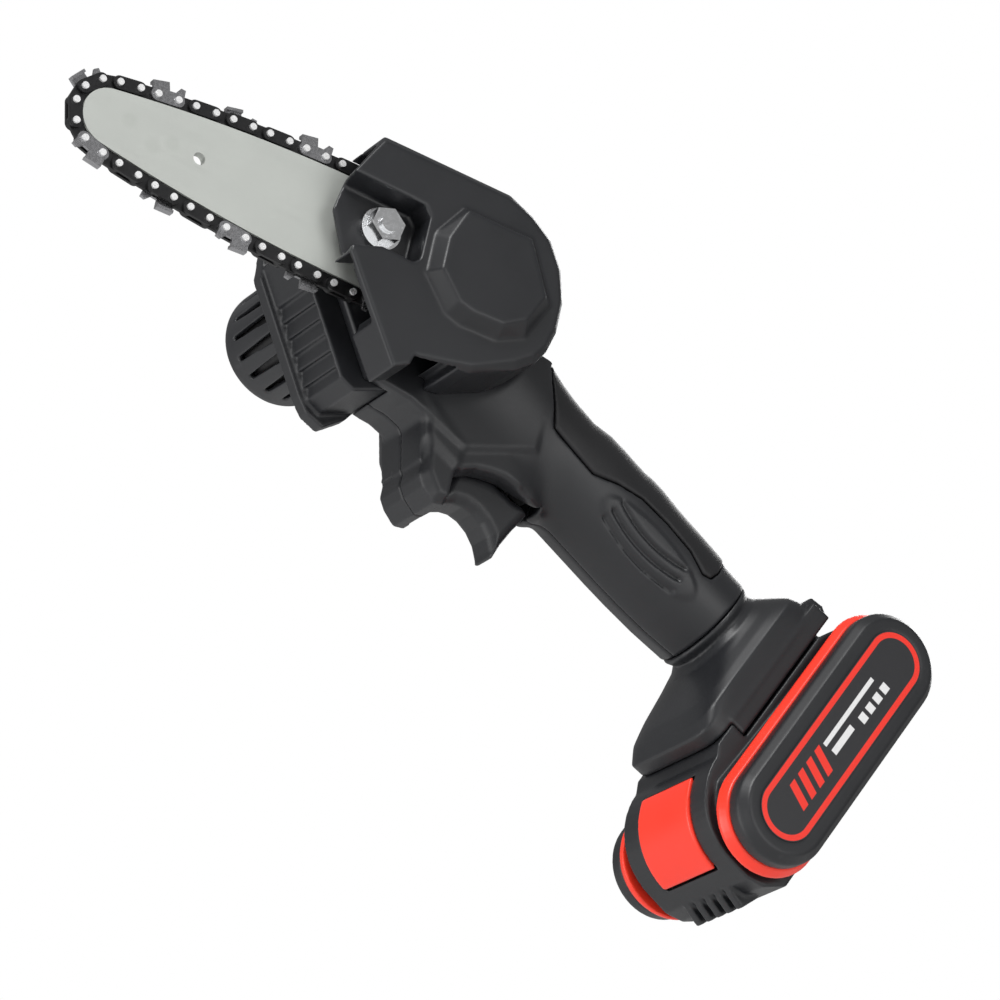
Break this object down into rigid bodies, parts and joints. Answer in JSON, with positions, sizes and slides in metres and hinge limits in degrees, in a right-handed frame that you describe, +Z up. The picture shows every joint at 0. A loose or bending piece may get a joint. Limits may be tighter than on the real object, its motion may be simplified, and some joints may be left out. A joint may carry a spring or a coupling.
{
  "type": "cordless pruning chainsaw",
  "caption": "Cordless one-hand chainsaw with a short guide bar, chain cover, side motor, trigger handle and clip-on battery pack.",
  "frame": {"origin": "centre of the box round the whole saw", "axes": "-X from the handle towards the bar tip along the bar, -Y towards the chain cover side, +Z up with the bar level"},
  "size_m": [0.3217, 0.0914, 0.1819],
  "materials": {
    "bar_steel": "satin ground",
    "chain_steel": "blackened",
    "bright_steel": "bright",
    "brass_parts": "bright",
    "shell_plastic": "fine moulded texture",
    "grip_rubber": "matt",
    "red_plastic": "satin",
    "label_film": "printed film, plain bars only",
    "switch_plastic": "matt",
    "lead_red": "satin",
    "cell_wrap": "shrink film",
    "board_green": "solder mask"
  },
  "bodies": {
    "saw": {"guide_bar": "bar_steel", "chain_drive_links": "chain_steel", "chain_tie_straps": "chain_steel", "chain_cutters_left": "bright_steel", "chain_cutters_right": "bright_steel", "chain_rivets": "bright_steel", "output_bearing_front": "bright_steel", "output_bearing_rear": "bright_steel", "intermediate_pin": "bright_steel", "motor_can": "bright_steel", "motor_magnets": "chain_steel", "motor_end_bell": "shell_plastic", "motor_screws": "bright_steel", "gear_plate": "bright_steel", "bar_plate": "bright_steel", "bar_stud": "bright_steel", "bar_nut": "bright_steel", "chain_cover": "shell_plastic", "motor_housing": "shell_plastic", "motor_cap": "shell_plastic", "housing_left": "shell_plastic", "housing_right": "shell_plastic", "grip_rubber": "grip_rubber", "housing_screws": "chain_steel", "trigger_spring": "bright_steel", "switch_body": "switch_plastic", "power_leads": "lead_red", "battery_shoe": "shell_plastic", "terminal_block": "switch_plastic", "contact_blades": "brass_parts"},
    "drive": {"drive_sprocket": "bright_steel", "sprocket_washer": "bright_steel", "sprocket_circlip": "chain_steel", "output_shaft": "bright_steel", "output_gear": "bright_steel"},
    "idler": {"intermediate_gear": "bright_steel"},
    "rotor": {"motor_pinion": "brass_parts", "motor_shaft": "bright_steel", "rotor_core": "bright_steel", "commutator": "brass_parts"},
    "trigger": {"trigger": "shell_plastic", "switch_plunger": "switch_plastic"},
    "battery": {"battery_body": "shell_plastic", "battery_pod_left": "shell_plastic", "battery_pod_right": "shell_plastic", "battery_band_left": "red_plastic", "battery_band_right": "red_plastic", "battery_label_left": "label_film", "battery_label_right": "label_film", "battery_cells": "cell_wrap", "cell_holders": "switch_plastic", "battery_board": "board_green", "battery_contacts": "brass_parts", "latch_spring": "bright_steel"},
    "latch": {"latch_button": "red_plastic"}
  },
  "joints": [
    {"name": "sprocket_spin", "type": "hinge", "parent": "saw", "child": "drive", "pos_m": [-0.01994, -0.02325, 0.0644], "axis": [0, 1, 0], "continuous": true, "deforming": ["chain_drive_links", "chain_tie_straps", "chain_cutters_left", "chain_cutters_right", "chain_rivets"]},
    {"name": "idler_spin", "type": "hinge", "parent": "saw", "child": "idler", "pos_m": [-0.03895, -0.00825, 0.07063], "axis": [0, 1, 0], "continuous": true},
    {"name": "motor_spin", "type": "hinge", "parent": "saw", "child": "rotor", "pos_m": [-0.0478, 0.01675, 0.0545], "axis": [0, 1, 0], "continuous": true},
    {"name": "trigger_pull", "type": "slide", "parent": "saw", "child": "trigger", "axis": [0.4499, 0, 0.8931], "range_m": [0, 0.005], "deforming": ["trigger_spring"]},
    {"name": "battery_slide", "type": "slide", "parent": "saw", "child": "battery", "axis": [-0.4258, 0, -0.9048], "range_m": [0, 0.09]},
    {"name": "latch_press", "type": "slide", "parent": "battery", "child": "latch", "axis": [0.8886, 0, 0.4587], "range_m": [0, 0.0023], "deforming": ["latch_spring"]}
  ],
  "couplings": [
    {"joint": "idler_spin", "follows": "motor_spin", "ratio": -0.35294},
    {"joint": "sprocket_spin", "follows": "motor_spin", "ratio": 0.19004}
  ]
}
